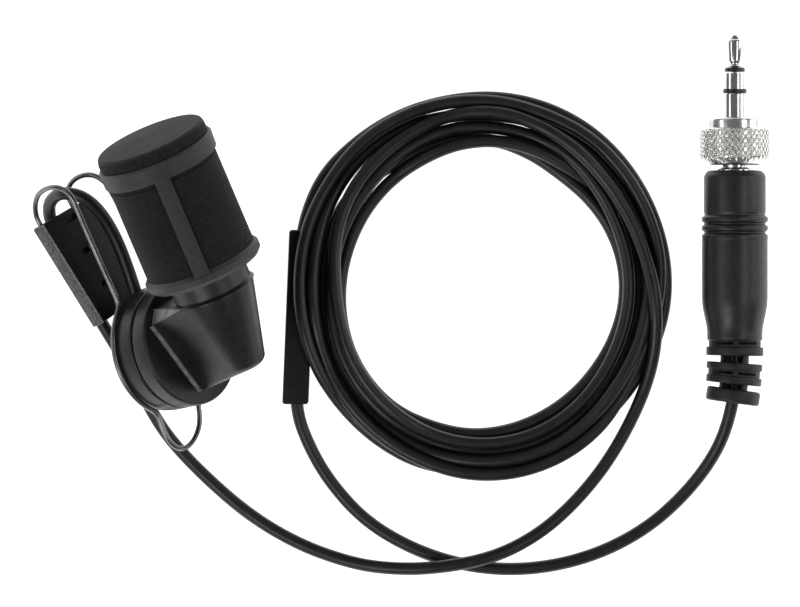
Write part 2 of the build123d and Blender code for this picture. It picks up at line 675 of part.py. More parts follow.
# flexible boot with slotted ribs
with BuildPart() as boot2:
    with BuildSketch(plug_profile()):
        with BuildLine():
            Polyline((0.97, -25.25), (3.3, -25.25), (3.3, -25.95), (4.15, -26.05), (4.2, -26.9), (4.05, -27.05),
                     (2.1, -27.05), (2.1, -28.1), (4.05, -28.15), (4.2, -28.35), (4.2, -28.95), (3.5, -29.05),
                     (3.5, -30.25), (4.2, -30.35), (4.2, -30.9), (4.05, -31.05), (2.1, -31.1), (2.1, -32.1),
                     (3.75, -32.15), (3.9, -32.35), (3.9, -33.3), (3.6, -33.9), (3.0, -34.1), (0.97, -34.1),
                     (0.97, -25.25))
        make_face()
    revolve(axis=plug_axis)
    # windows through the ribbed part, on the two sides
    for q in (-27.6, -31.6):
        with BuildSketch(Plane(origin=Vector(PLUG_X + SHIFT_X, PLUG_Y + SHIFT_Y + q, PLUG_Z - 3),
                               x_dir=(1, 0, 0), z_dir=(0, 0, 1))):
            with Locations((-1.75, 0), (1.75, 0)):
                Rectangle(0.8, 0.6)
        extrude(amount=6, mode=Mode.SUBTRACT)
save(boot2.part, "strain_relief")

# cable inside the boot, up to the clamp
with BuildPart() as incable:
    with BuildSketch(plug_plane(-34.05)):
        Circle(CABLE_D / 2)
    extrude(amount=22.5)
save(incable.part, "cable_in_plug")
print(len(nodes), "nodes")

# reference points that the record and the finish work use
for nm, p in (("swivel centre", C), ("swivel axis", N), ("jaw pin", PIN), ("across the clip", V),
              ("microphone base", MIC0), ("microphone axis", AXIS), ("clip up", U),
              ("plug shaft", Vector(PLUG_X + SHIFT_X, PLUG_Y + SHIFT_Y + 10.9, PLUG_Z)),
              ("jaw gap", J(4, 0, JAW_T + 1.2)), ("jaw gap way", -JS)):
    print(nm, round(p.X, 4), round(p.Y, 4), round(p.Z, 4))
for nm, pts in (("loop", loop_pts), ("mic", mic_pts), ("plug", plug_pts), ("link", link_pts)):
    print(nm, [(round(p.X, 2), round(p.Y, 2), round(p.Z, 2)) for p in pts])
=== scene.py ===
import json
import math

import bpy
import bmesh
import numpy as np
from mathutils import Vector, Matrix, noise


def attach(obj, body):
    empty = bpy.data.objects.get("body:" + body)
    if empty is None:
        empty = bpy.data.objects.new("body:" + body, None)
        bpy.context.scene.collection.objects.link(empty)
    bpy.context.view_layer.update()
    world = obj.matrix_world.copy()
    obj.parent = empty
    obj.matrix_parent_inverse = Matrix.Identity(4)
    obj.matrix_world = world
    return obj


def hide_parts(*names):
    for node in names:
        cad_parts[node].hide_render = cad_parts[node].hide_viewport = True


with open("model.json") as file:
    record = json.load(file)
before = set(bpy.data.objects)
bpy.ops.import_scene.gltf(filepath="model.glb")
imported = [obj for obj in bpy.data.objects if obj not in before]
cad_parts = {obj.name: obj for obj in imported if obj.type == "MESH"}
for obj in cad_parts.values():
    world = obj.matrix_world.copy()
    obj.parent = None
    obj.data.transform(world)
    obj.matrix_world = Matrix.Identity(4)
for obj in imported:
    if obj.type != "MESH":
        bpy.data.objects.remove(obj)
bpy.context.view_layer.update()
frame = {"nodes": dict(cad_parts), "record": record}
NODES = frame["nodes"]
scene = bpy.context.scene
mm = 0.001
pi = math.pi

# ------------------------------------------------------------------ frames
SHIFT_X, SHIFT_Y = 37.18, -2.314
lean, turn, rise, tilt = (math.radians(q) for q in (45.5, 12.0, 14.5, 10.0))
N = Vector((math.sin(lean) * math.cos(turn), math.sin(lean) * math.sin(turn), math.cos(lean)))
hd = Vector((-0.3875, 0.9219, 0)).normalized()
AXIS = Vector((hd.x * math.cos(rise), hd.y * math.cos(rise), math.sin(rise)))
U = (AXIS - N * AXIS.dot(N)).normalized()
V = U.cross(N)
C = Vector((-30.587 + SHIFT_X, -5.634 + SHIFT_Y, 11.80))


def D(al, be, w):
    """Clip frame to the row frame, millimetres: al up the clip, be across it, w out of the disc's face."""
    return C + U * al + V * be + N * w


def T(x, y, z):
    return Vector((x + SHIFT_X, y + SHIFT_Y, z))


def J(s, be, k):
    return D(6.7 + s * math.cos(tilt) + k * math.sin(tilt), be, -13.0 - s * math.sin(tilt) + k * math.cos(tilt))


MIC0 = D(10.15, 0, 9.21)
MICY = AXIS.cross(V)
PLUG0 = Vector((49.21 + SHIFT_X, 19.63 + SHIFT_Y, 5.20))


def basis(origin, x, z):
    """Millimetre frame as a matrix into metres."""
    x, z = Vector(x).normalized(), Vector(z).normalized()
    y = z.cross(x)
    m = Matrix((x, y, z)).transposed().to_4x4()
    m.translation = Vector(origin)
    return Matrix.Scale(mm, 4) @ m


MIC_M = basis(MIC0, V, AXIS)
PLUG_M = basis(PLUG0, (1, 0, 0), (0, 1, 0))
DISC_M = basis(C, V, N)

# ------------------------------------------------------------------ camera
cam_data = bpy.data.cameras.new("camera")
cam = bpy.data.objects.new("camera", cam_data)
scene.collection.objects.link(cam)
cam_data.sensor_width = 36.0
cam_data.lens = 36.0 * 1500.0 / 118.0
cam_data.clip_start, cam_data.clip_end = 0.1, 10.0
cam.location = (0.03718, -0.002314, 1.5)
cam.rotation_euler = (0, 0, 0)
scene.camera = cam


# ------------------------------------------------------------------ materials
def sock(node, *names):
    for n in names:
        if n in node.inputs:
            return node.inputs[n]
    raise KeyError(names)


def finish_material(name, dark, light, rough=(0.4, 0.5), metallic=0.0, tone_scale=900.0, grain_scale=5000.0,
                    grain_depth=0.0, coat=0.0, coat_rough=0.1, ior=1.5, spec=0.5, sheen=0.0, detail=4.0,
                    contrast=(0.35, 0.65), scratches=0.0, kind="noise", stretch=(1, 1, 1), frame_m=None,
                    edge=0.0):
    """Moulded, woven, metal or rubber finish: mottled tone, uneven gloss and a fine grain in the normal."""
    m = bpy.data.materials.new(name)
    m.use_nodes = True
    nt = m.node_tree
    nt.nodes.clear()
    out = nt.nodes.new("ShaderNodeOutputMaterial")
    bsdf = nt.nodes.new("ShaderNodeBsdfPrincipled")
    nt.links.new(bsdf.outputs["BSDF"], out.inputs["Surface"])
    bsdf.inputs["Metallic"].default_value = metallic
    bsdf.inputs["IOR"].default_value = ior
    sock(bsdf, "Specular IOR Level", "Specular").default_value = spec
    sock(bsdf, "Coat Weight", "Clearcoat").default_value = coat
    sock(bsdf, "Coat Roughness", "Clearcoat Roughness").default_value = coat_rough
    sock(bsdf, "Sheen Weight", "Sheen").default_value = sheen
    co = nt.nodes.new("ShaderNodeTexCoord")
    mp = nt.nodes.new("ShaderNodeMapping")
    mp.inputs["Scale"].default_value = stretch
    nt.links.new(co.outputs["Object"], mp.inputs["Vector"])
    tone = nt.nodes.new("ShaderNodeTexNoise")
    tone.inputs["Scale"].default_value = tone_scale
    tone.inputs["Detail"].default_value = detail
    nt.links.new(mp.outputs["Vector"], tone.inputs["Vector"])
    ramp = nt.nodes.new("ShaderNodeValToRGB")
    ramp.color_ramp.elements[0].position = contrast[0]
    ramp.color_ramp.elements[1].position = contrast[1]
    ramp.color_ramp.elements[0].color = (*dark, 1)
    ramp.color_ramp.elements[1].color = (*light, 1)
    nt.links.new(tone.outputs["Fac"], ramp.inputs["Fac"])
    colour = ramp.outputs["Color"]
    if edge:
        # rubbed, paler edges
        geo = nt.nodes.new("ShaderNodeNewGeometry")
        em = nt.nodes.new("ShaderNodeMapRange")
        em.inputs["From Min"].default_value = 0.53
        em.inputs["From Max"].default_value = 0.66
        em.inputs["To Min"].default_value = 0.0
        em.inputs["To Max"].default_value = edge
        nt.links.new(geo.outputs["Pointiness"], em.inputs["Value"])
        mx = nt.nodes.new("ShaderNodeMixRGB")
        mx.inputs["Color2"].default_value = tuple(min(1, 3.2 * q + 0.03) for q in light) + (1,)
        nt.links.new(em.outputs["Result"], mx.inputs["Fac"])
        nt.links.new(colour, mx.inputs["Color1"])
        colour = mx.outputs["Color"]
    nt.links.new(colour, bsdf.inputs["Base Color"])
    gloss = nt.nodes.new("ShaderNodeTexNoise")
    gloss.inputs["Scale"].default_value = tone_scale * 2.3
    gloss.inputs["Detail"].default_value = 3.0
    nt.links.new(mp.outputs["Vector"], gloss.inputs["Vector"])
    mr = nt.nodes.new("ShaderNodeMapRange")
    mr.inputs["From Min"].default_value = 0.3
    mr.inputs["From Max"].default_value = 0.7
    mr.inputs["To Min"].default_value = rough[0]
    mr.inputs["To Max"].default_value = rough[1]
    nt.links.new(gloss.outputs["Fac"], mr.inputs["Value"])
    nt.links.new(mr.outputs["Result"], bsdf.inputs["Roughness"])
    if grain_depth:
        if kind == "noise":
            g = nt.nodes.new("ShaderNodeTexNoise")
            g.inputs["Scale"].default_value = grain_scale
            g.inputs["Detail"].default_value = 3.0
            gout = g.outputs["Fac"]
        else:
            g = nt.nodes.new("ShaderNodeTexVoronoi")
            g.inputs["Scale"].default_value = grain_scale
            gout = g.outputs["Distance"]
        nt.links.new(mp.outputs["Vector"], g.inputs["Vector"])
        b = nt.nodes.new("ShaderNodeBump")
        b.inputs["Strength"].default_value = 1.0
        b.inputs["Distance"].default_value = grain_depth
        nt.links.new(gout, b.inputs["Height"])
        nt.links.new(b.outputs["Normal"], bsdf.inputs["Normal"])
    return m


def grey(v):
    return (v, v * 0.99, v * 0.985)


MAT = {
    "cage_plastic": finish_material("cage_plastic", grey(0.021), grey(0.030), (0.5, 0.62), tone_scale=1500,
                                    grain_scale=9000, grain_depth=0.000012, spec=0.4, edge=0.35),
    "gauze_cloth": finish_material("gauze_cloth", grey(0.008), grey(0.018), (0.75, 0.9), tone_scale=2200,
                                   grain_scale=6000, grain_depth=0.00002, spec=0.2, sheen=0.05),
    "cap_cloth": finish_material("cap_cloth", grey(0.013), grey(0.030), (0.8, 0.95), tone_scale=3200,
                                 grain_scale=6000, grain_depth=0.00002, spec=0.2, sheen=0.1),
    "foam": finish_material("foam", grey(0.02), grey(0.05), (0.85, 0.95), grain_scale=2500, grain_depth=0.00008,
                            kind="voronoi"),
    "gloss_black": finish_material("gloss_black", grey(0.007), grey(0.012), (0.38, 0.48), tone_scale=500,
                                   grain_scale=3500, grain_depth=0.000004, spec=0.5, edge=0.25),
    "satin_black": finish_material("satin_black", grey(0.005), grey(0.010), (0.33, 0.44), tone_scale=700,
                                   grain_scale=5000, grain_depth=0.000006, spec=0.45, edge=0.3),
    "jaw_black": finish_material("jaw_black", grey(0.003), grey(0.007), (0.5, 0.65), tone_scale=600,
                                 grain_scale=3000, grain_depth=0.00002, spec=0.2, contrast=(0.3, 0.75)),
    # lighter copy of the satin black for the socket's ridge bead and facet: a painted highlight
    "satin_painted_highlight": finish_material("satin_painted_highlight", grey(0.09), grey(0.20), (0.34, 0.46), tone_scale=900,
                                  grain_scale=5000, grain_depth=0.000008, spec=0.5),
    # pale copy of the jaw plastic for its bevelled edges: a painted highlight line
    "jaw_painted_highlight": finish_material("jaw_painted_highlight", grey(0.08), grey(0.42), (0.4, 0.6), tone_scale=2600,
                                grain_scale=3600, grain_depth=0.00006, spec=0.5, contrast=(0.3, 0.7)),
    "jaw_side": finish_material("jaw_side", grey(0.022), grey(0.13), (0.45, 0.65), tone_scale=2600,
                                grain_scale=3600, grain_depth=0.00006, spec=0.5, contrast=(0.3, 0.72)),
    "rubber_black": finish_material("rubber_black", grey(0.008), grey(0.014), (0.45, 0.58), tone_scale=900,
                                    grain_scale=5000, grain_depth=0.000008, spec=0.4),
    "cable_jacket": finish_material("cable_jacket", grey(0.005), grey(0.010), (0.36, 0.48), tone_scale=260,
                                    grain_scale=3500, grain_depth=0.000006, spec=0.45),
    "plug_mould": finish_material("plug_mould", grey(0.009), grey(0.015), (0.34, 0.46), tone_scale=900,
                                  grain_scale=7000, grain_depth=0.00001, spec=0.45, edge=0.2),
    "spring_steel": finish_material("spring_steel", (0.15, 0.15, 0.15), (0.20, 0.198, 0.195), (0.26, 0.34),
                                    metallic=1.0, tone_scale=300, grain_scale=3000, grain_depth=0.000001),
    "contact_metal": finish_material("contact_metal", (0.62, 0.61, 0.60), (0.78, 0.77, 0.75), (0.12, 0.2),
                                     metallic=1.0, tone_scale=500, grain_scale=4000, grain_depth=0.000002),
    "nut_metal": finish_material("nut_metal", (0.74, 0.73, 0.72), (0.88, 0.87, 0.85), (0.16, 0.26),
                                 metallic=1.0, tone_scale=900, grain_scale=5000, grain_depth=0.000002),
    "brass_parts": finish_material("brass_parts", (0.45, 0.30, 0.10), (0.65, 0.45, 0.18), (0.25, 0.4),
                                   metallic=1.0, tone_scale=700, grain_scale=4000, grain_depth=0.000004),
    "insulator_black": finish_material("insulator_black", grey(0.006), grey(0.012), (0.3, 0.4), tone_scale=900,
                                       grain_scale=5000, grain_depth=0.000004),
    "capsule_metal": finish_material("capsule_metal", (0.45, 0.45, 0.44), (0.62, 0.62, 0.61), (0.22, 0.34),
                                     metallic=1.0, tone_scale=700, grain_scale=4000, grain_depth=0.000004),
    "film": finish_material("film", (0.55, 0.45, 0.25), (0.7, 0.6, 0.38), (0.12, 0.2), metallic=0.8,
                            tone_scale=500, grain_scale=4000, grain_depth=0.000002),
    "board": finish_material("board", (0.01, 0.06, 0.02), (0.02, 0.12, 0.04), (0.35, 0.5), tone_scale=900,
                             grain_scale=2500, grain_depth=0.00002),
    "marker_black": finish_material("marker_black", grey(0.003), grey(0.006), (0.5, 0.6), tone_scale=900,
                                    grain_scale=5000, grain_depth=0.000006, spec=0.25),
}

for part in frame["record"]["subparts"]:
    o = NODES[part["node"]]
    m = MAT[part["material_slot"]]
    if len(o.data.materials) == 0:
        o.data.materials.append(m)
    for s in o.material_slots:
        s.material = m


def add_mesh(name, verts, faces, matrix, material, body, sharp=35.0, replaces=()):
    me = bpy.data.meshes.new(name)
    me.from_pydata([matrix @ Vector(v) for v in verts], [], faces)
    me.validate()
    bm = bmesh.new()
    bm.from_mesh(me)
    bmesh.ops.remove_doubles(bm, verts=bm.verts, dist=1e-7)
    bmesh.ops.recalc_face_normals(bm, faces=bm.faces)
    bm.to_mesh(me)
    bm.free()
    for p in me.polygons:
        p.use_smooth = True
    me.set_sharp_from_angle(angle=math.radians(sharp))
    o = bpy.data.objects.new(name, me)
    scene.collection.objects.link(o)
    me.materials.append(MAT[material])
    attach(o, body)
    if replaces:
        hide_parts(*replaces)
    return o


def lathe(name, prof, matrix, material, body, seg=128, bump=None, sharp=35.0, replaces=()):
    """Closed (r, h) outline turned about h. bump(r, h, a, i) gives a radial offset."""
    verts, faces = [], []
    n = len(prof)
    for i, (r, h) in enumerate(prof):
        for k in range(seg):
            a = 2 * pi * k / seg
            rr = r + (bump(r, h, a, i) if bump and r > 1e-6 else 0.0)
            verts.append((rr * math.cos(a), rr * math.sin(a), h))
    for i in range(n):
        j = (i + 1) % n
        if prof[i][0] < 1e-6 and prof[j][0] < 1e-6:
            continue
        for k in range(seg):
            l = (k + 1) % seg
            faces.append((i * seg + k, i * seg + l, j * seg + l, j * seg + k))
    return add_mesh(name, verts, faces, matrix, material, body, sharp, replaces)


def rounded(pts, r=0.15, steps=4):
    """Outline with its listed corners rounded: pts are (x, y) or (x, y, radius)."""
    out = []
    n = len(pts)
    for i in range(n):
        p = Vector(pts[i][:2])
        rad = pts[i][2] if len(pts[i]) > 2 else r
        a, b = Vector(pts[i - 1][:2]) - p, Vector(pts[(i + 1) % n][:2]) - p
        if rad <= 0 or a.length < 1e-6 or b.length < 1e-6:
            out.append(tuple(p))
            continue
        t = min(rad, 0.45 * a.length, 0.45 * b.length)
        s, e = p + a.normalized() * t, p + b.normalized() * t
        for q in range(steps + 1):
            f = q / steps
            out.append(tuple(s * (1 - f) ** 2 + p * 2 * f * (1 - f) + e * f * f))
    return out


# ------------------------------------------------------------------ solid shaping, in millimetres
def mm_matrix(m):
    return Matrix.Scale(1000.0, 4) @ m


def ring_mesh(prof, matrix, seg=128):
    """Closed (r, h) outline turned about the matrix's z."""
    verts, faces = [], []
    n = len(prof)
    for r, h in prof:
        for k in range(seg):
            a = 2 * pi * k / seg
            verts.append(matrix @ Vector((r * math.cos(a), r * math.sin(a), h)))
    for i in range(n):
        j = (i + 1) % n
        if prof[i][0] < 1e-6 and prof[j][0] < 1e-6:
            continue
        for k in range(seg):
            l = (k + 1) % seg
            faces.append((i * seg + k, i * seg + l, j * seg + l, j * seg + k))
    me = bpy.data.meshes.new("turned")
    me.from_pydata(verts, [], faces)
    return tidy(me)


def tidy(me):
    bm = bmesh.new()
    bm.from_mesh(me)
    bmesh.ops.remove_doubles(bm, verts=bm.verts, dist=1e-5)
    bmesh.ops.recalc_face_normals(bm, faces=bm.faces)
    bm.to_mesh(me)
    bm.free()
    return me


def prism_mesh(outline, k0, k1, matrix, bevel=0.0, seg=3):
    """(x, y) outline extruded in z, its edges rounded."""
    bm = bmesh.new()
    lo_ = [bm.verts.new((x, y, k0)) for x, y in outline]
    hi_ = [bm.verts.new((x, y, k1)) for x, y in outline]
    bm.faces.new(lo_[::-1])
    bm.faces.new(hi_)
    n = len(outline)
    for i in range(n):
        j = (i + 1) % n
        bm.faces.new((lo_[i], lo_[j], hi_[j], hi_[i]))
    bmesh.ops.recalc_face_normals(bm, faces=bm.faces)
    if bevel:
        sharp_ = [e for e in bm.edges if len(e.link_faces) == 2 and e.calc_face_angle() > 0.5]
        bmesh.ops.bevel(bm, geom=sharp_, offset=bevel, segments=seg, profile=0.5, affect="EDGES")
    for v in bm.verts:
        v.co = matrix @ v.co
    me = bpy.data.meshes.new("prism")
    bm.to_mesh(me)
    bm.free()
    return tidy(me)


def box_mesh(x, y, z, matrix, bevel=0.0):
    return prism_mesh([(x[0], y[0]), (x[1], y[0]), (x[1], y[1]), (x[0], y[1])], z[0], z[1], matrix, bevel)


def hull_mesh(points, bevel=0.0):
    bm = bmesh.new()
    for p in points:
        bm.verts.new(p)
    got = bmesh.ops.convex_hull(bm, input=bm.verts[:], use_existing_faces=False)
    loose = [v for v in bm.verts if not v.link_faces]
    bmesh.ops.delete(bm, geom=loose, context="VERTS")
    bmesh.ops.dissolve_limit(bm, angle_limit=0.02, verts=bm.verts[:], edges=bm.edges[:])
    bmesh.ops.recalc_face_normals(bm, faces=bm.faces)
    if bevel:
        sharp_ = [e for e in bm.edges if len(e.link_faces) == 2 and e.calc_face_angle() > 0.45]
        bmesh.ops.bevel(bm, geom=sharp_, offset=bevel, segments=3, profile=0.5, affect="EDGES")
    me = bpy.data.meshes.new("hull")
    bm.to_mesh(me)
    bm.free()
    return tidy(me)


def carve(me, others, operation):
    """Exact union or difference with each of the other meshes in turn."""
    base = bpy.data.objects.new("tmp_a", me)
    scene.collection.objects.link(base)
    for other in others:
        cut = bpy.data.objects.new("tmp_b", other)
        scene.collection.objects.link(cut)
        md = base.modifiers.new("cut", "BOOLEAN")
        md.operation = operation
        md.solver = "EXACT"
        md.object = cut
        bpy.context.view_layer.update()
        new = bpy.data.meshes.new_from_object(base.evaluated_get(bpy.context.evaluated_depsgraph_get()))
        base.modifiers.clear()
        base.data = new
        bpy.data.objects.remove(cut)
    out_ = base.data
    bpy.data.objects.remove(base)
    return out_


def joined(meshes):
    bm = bmesh.new()
    for me in meshes:
        bm.from_mesh(me)
    me = bpy.data.meshes.new("joined")
    bm.to_mesh(me)
    bm.free()
    return me


def place(name, me, materials, body, replaces, sharp=32.0, pick=None):
    """Millimetre mesh into the scene in metres."""
    for v in me.vertices:
        v.co = v.co * mm
    me.name = name
    me.materials.clear()
    for m in materials:
        me.materials.append(MAT[m])
    for p in me.polygons:
        p.use_smooth = True
        p.material_index = pick(p) if pick else 0
    me.set_sharp_from_angle(angle=math.radians(sharp))
    o = bpy.data.objects.new(name, me)
    scene.collection.objects.link(o)
    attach(o, body)
    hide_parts(*replaces)
    return o


# swivel socket: a tapered cup drawn out flat to a wedge that stands on the round disc
DISC_MM, MIC_MM, PLUG_MM = mm_matrix(DISC_M), mm_matrix(MIC_M), mm_matrix(PLUG_M)
SOCK_T = 2.85
shell_pts = []
for rr, hh in ((6.05, -SOCK_T), (6.2, -SOCK_T - 0.15), (3.28, -SOCK_T - 12.0), (2.95, -SOCK_T - 12.55), (2.4, -SOCK_T - 12.8)):
    for k in range(96):
        a = 2 * pi * k / 96
        shell_pts.append(MIC_MM @ Vector((rr * math.cos(a), rr * math.sin(a), hh)))
for w_ in (-0.4, 0.75):
    for al_, be_ in ((5.45, 5.75), (7.35, 3.9), (-6.85, 2.45)):
        shell_pts.append(D(al_, be_, w_))
        shell_pts.append(D(al_, -be_, w_))
disc_top = ring_mesh(rounded([(0, 0, 0), (9.3, 0, 0.45), (9.3, -2.8, 0.45), (0, -2.8, 0)], 0.45, 6), DISC_MM, 192)
sock_me = carve(hull_mesh(shell_pts, 0.42), [disc_top], "UNION")
sock_me = carve(sock_me, [
    ring_mesh([(0, 1.0), (5.42, 1.0), (5.36, -SOCK_T), (5.14, -SOCK_T - 4.4), (0, -SOCK_T - 4.4)], MIC_MM, 96),
    ring_mesh([(0, -SOCK_T - 4.3), (3.1, -SOCK_T - 4.3), (2.4, -SOCK_T - 9.6), (0, -SOCK_T - 9.6)], MIC_MM, 64),
    ring_mesh([(0, 9.2), (2.2, 9.2), (3.25, 0.0), (2.27, -0.05), (2.27, -3.2), (0, -3.2)], DISC_MM, 64)],
    "DIFFERENCE")
RIDGE_A, RIDGE_B = D(5.55, -5.85, 0.15), D(-6.8, -2.6, 0.15)
ridge_pts = []
for end in (RIDGE_A, RIDGE_B):
    for k in range(24):
        a = 2 * pi * k / 24
        ridge_pts.append(end + V * (0.42 * math.cos(a)) + N * (0.42 * math.sin(a)))
sock_me = joined([sock_me, hull_mesh(ridge_pts)])


def on_ridge(p):
    """Bead at the foot of the wedge, and the facet above it, which take the lighter second material: a painted
    highlight.
    """
    c = p.center / mm
    d_ = (RIDGE_B - RIDGE_A).normalized()
    off = c - RIDGE_A
    q_ = off - d_ * off.dot(d_)
    if 0.36 < q_.length < 0.43 and -0.1 < off.dot(d_) < 12.9 and p.area / mm ** 2 < 2.5 and abs(p.normal.dot(d_)) < 0.2 \
            and (p.normal - q_.normalized()).length < 0.3:
        return 1
    q = c - C
    return 1 if p.normal.dot(U) > 0.25 and p.normal.dot(V) < -0.35 and q.dot(U) > 5.0 and q.dot(N) > 0.2 and q.dot(U) < 8 \
        and q.dot(N) < 6 else 0


# the ridge bead and the facet above it are painted lighter than the rest of the socket: a painted highlight
place("swivel_socket", sock_me, ["satin_black", "satin_painted_highlight"], "microphone", ("swivel_holder",), 30,
      on_ridge)

# base disc, with the boss that the wire runs round
base_prof = rounded([(2.2, -2.95, 0), (9.3, -2.95, 0.4), (9.3, -5.75, 0.35), (9.15, -5.76, 0.02), (9.15, -6.85, 0.1),
                     (7.6, -6.86, 0.05), (7.6, -7.3, 0.1), (2.2, -7.3, 0)], 0.3, 5)
place("base_disc", ring_mesh(base_prof, DISC_MM, 192), ["satin_black"], "root",
      ("clip_base_disc",), 30)

# jaw: block with a coarse side, moulding slots in its face and slots in its end for the wire
JAW_MM = Matrix((V, (J(1, 0, 0) - J(0, 0, 0)).normalized(), (J(0, 0, 1) - J(0, 0, 0)).normalized())).transposed().to_4x4()
JAW_MM.translation = J(0, 0, 0)
jaw_me = prism_mesh([(-4.5, 0), (4.5, 0), (4.6, 3.0), (6.0, 7.0), (6.0, 15.2), (4.6, 16.4), (-4.5, 17.0)], 0, 2.45, JAW_MM, 0.26, 3)
pin_r = []
for k in range(24):
    a = 2 * pi * k / 24
    pin_r.append((15.45 + 0.47 * math.cos(a), 1.2 + 0.47 * math.sin(a)))
turn_m = JAW_MM @ Matrix(((0, 0, 1, 0), (1, 0, 0, 0), (0, 1, 0, 0), (0, 0, 0, 1)))
cuts = [box_mesh((-3.2, 3.2), (1.6, 11.2), (-1.0, 0.99), JAW_MM, 0.3),
        box_mesh((-0.7, 2.6), (14.85, 15.75), (1.85, 3.2), JAW_MM),
        box_mesh((-0.62, 1.27), (9.8, 10.6), (1.85, 3.2), JAW_MM),
        box_mesh((-0.6, 0.45), (4.3, 5.1), (1.85, 3.2), JAW_MM),
        box_mesh((-4.22, -3.18), (15.0, 18.0), (0.5, 1.9), JAW_MM),
        box_mesh((3.18, 4.22), (15.0, 18.0), (0.5, 1.9), JAW_MM),
        prism_mesh(pin_r, -4.0, -2.1, turn_m), prism_mesh(pin_r, 2.1, 4.0, turn_m)]
jaw_me = carve(jaw_me, cuts, "DIFFERENCE")
# faces on the jaw's bevels take the pale third material, a painted highlight along its edges
place("clip_jaw_block", jaw_me, ["jaw_black", "jaw_side", "jaw_painted_highlight"], "jaw", ("clip_jaw",), 50,
      lambda p: 0 if abs(p.normal.dot(V)) < 0.2 or p.area < 0 else (1 if abs(p.normal.dot(V)) > 0.93 else 2))

# spring wire: out of the jaw's end, over in a loop, down the leg, round the boss, a loop below, and back
WR = -6.35
RC = 9.6 / 0.9914


def run(deg):
    return D(RC * math.cos(math.radians(deg)), RC * math.sin(math.radians(deg)), WR)


wire_pts = [J(15.45, -2.3, 1.2), J(15.45, -3.7, 1.2), J(16.3, -3.7, 1.2), J(17.6, -3.7, 1.2), D(25.4, -3.7, -14.75),
            D(27.1, -3.75, -13.8), D(28.6, -3.85, -11.9), D(29.05, -3.9, -8.9), D(28.25, -3.9, -6.6),
            D(26.7, -3.9, -5.75), D(24.6, -3.9, -5.95), D(18.0, -3.9, -6.2), D(11.3, -3.9, -6.3),
            D(9.5, -3.95, WR), D(8.75, -4.35, WR)]
wire_pts += [run(-q) for q in (38, 53, 68, 83, 98, 113, 127)]
wire_pts += [D(-7.64, -6.16, WR), D(-9.94, -6.52, WR), D(-12.13, -6.45, WR), D(-13.79, -5.64, WR),
             D(-14.61, -4.01, WR), D(-14.38, -2.02, WR), D(-13.38, -0.04, WR), D(-12.00, 1.19, WR),
             D(-9.9, 2.1, WR), D(-8.9, 4.0, WR)]
wire_pts += [run(q) for q in (146, 131, 116, 101, 86, 71, 56, 41)]
wire_pts += [D(8.75, 4.35, WR), D(9.5, 3.95, WR), D(11.3, 4.3, -6.45), D(18.0, 4.9, -6.8), D(24.3, 4.7, -6.95),
             D(25.9, 4.4, -7.3), D(27.05, 4.1, -8.4), D(27.4, 3.85, -10.1), D(27.1, 3.75, -12.1), D(26.2, 3.7, -13.8),
             D(25.1, 3.7, -14.7), J(17.6, 3.7, 1.2), J(16.3, 3.7, 1.2), J(15.45, 3.7, 1.2), J(15.45, 2.3, 1.2)]

# strain relief: short flanges on a slotted core, leaning with the cable
boot_parts = []
for h_top, h_bot, r_, lean_, dx, rad in ((-24.9, -26.05, 3.82, 0.0, 0.0, 0.1), (-26.0, -27.3, 4.2, 1.0, 0.0, 0.25),
                                         (-27.25, -28.45, 2.1, 2.0, -0.02, 0.0), (-28.35, -29.4, 4.1, 4.0, -0.05, 0.25),
                                         (-29.3, -30.4, 3.82, 5.0, -0.1, 0.1), (-30.3, -31.45, 4.08, 6.0, -0.15, 0.25),
                                         (-31.4, -32.3, 2.1, 7.0, -0.2, 0.0), (-32.2, -34.25, 3.95, 8.0, -0.26, 0.5)):
    t_ = math.radians(lean_)
    mid = 0.5 * (h_top + h_bot)
    half_ = 0.5 * (h_top - h_bot)
    org = PLUG0 + Vector((dx, mid, 0))
    bm_ = mm_matrix(basis(org, (math.cos(t_), -math.sin(t_), 0), (math.sin(t_), math.cos(t_), 0)))
    ring_ = ring_mesh(rounded([(1.0, half_, 0), (r_, half_, rad), (r_, -half_, rad), (1.0, -half_, 0)], rad, 4), bm_, 96)
    if r_ < 3:
        ring_ = carve(ring_, [box_mesh((-1.55, 1.15), (0.7, 3.0), (-half_ + 0.12, half_ - 0.12), bm_, 0.0),
                              box_mesh((-1.55, 1.15), (-3.0, -0.7), (-half_ + 0.12, half_ - 0.12), bm_, 0.0)],
                      "DIFFERENCE")
    elif r_ < 4:
        if lean_ < 7:
            ring_ = carve(ring_, [box_mesh((-3.2, -0.35), (2.2, 4.5), (-0.22, 0.22), bm_),
                                  box_mesh((0.45, 3.2), (2.2, 4.5), (-0.22, 0.22), bm_),
                                  box_mesh((-3.2, -0.35), (-4.5, -2.2), (-0.22, 0.22), bm_),
                                  box_mesh((0.45, 3.2), (-4.5, -2.2), (-0.22, 0.22), bm_)], "DIFFERENCE")
    boot_parts.append(ring_)
place("boot_relief", joined(boot_parts), ["rubber_black"], "root", ("strain_relief",), 35)

# ------------------------------------------------------------------ the cable
D_CAB = 1.9
loop_pts = [D(3.0, 0.9, -8.55), D(6.2, 1.35, -8.3), D(10.8, 2.15, -8.2), D(16.6, 2.6, -7.95),
            D(21.4, 2.1, -7.9), D(24.9, 0.75, -8.3), D(26.6, -0.35, -10.3), D(26.4, 0.2, -13.6),
            D(24.6, 0.8, -16.8), D(20.0, 1.0, -18.0), D(13.5, 0.9, -17.7), D(7.2, 0.75, -16.85),
            T(-42.1, -5.9, 0.98)]
mic_pts = [T(-39.1, -10.8, 1.0), T(-36.9, -15.4, 0.96), T(-34.0, -20.0, 0.96),
           T(-28.8, -25.5, 0.96), T(-22.1, -31.3, 0.96), T(-14.8, -35.6, 0.96), T(-7.1, -38.3, 1.05),
           T(-1.2, -39.1, 2.3), T(5.0, -39.0, 3.15), T(13.3, -37.6, 3.15), T(20.1, -34.3, 1.9),
           T(25.8, -29.4, 1.0), T(31.1, -22.8, 1.1)]
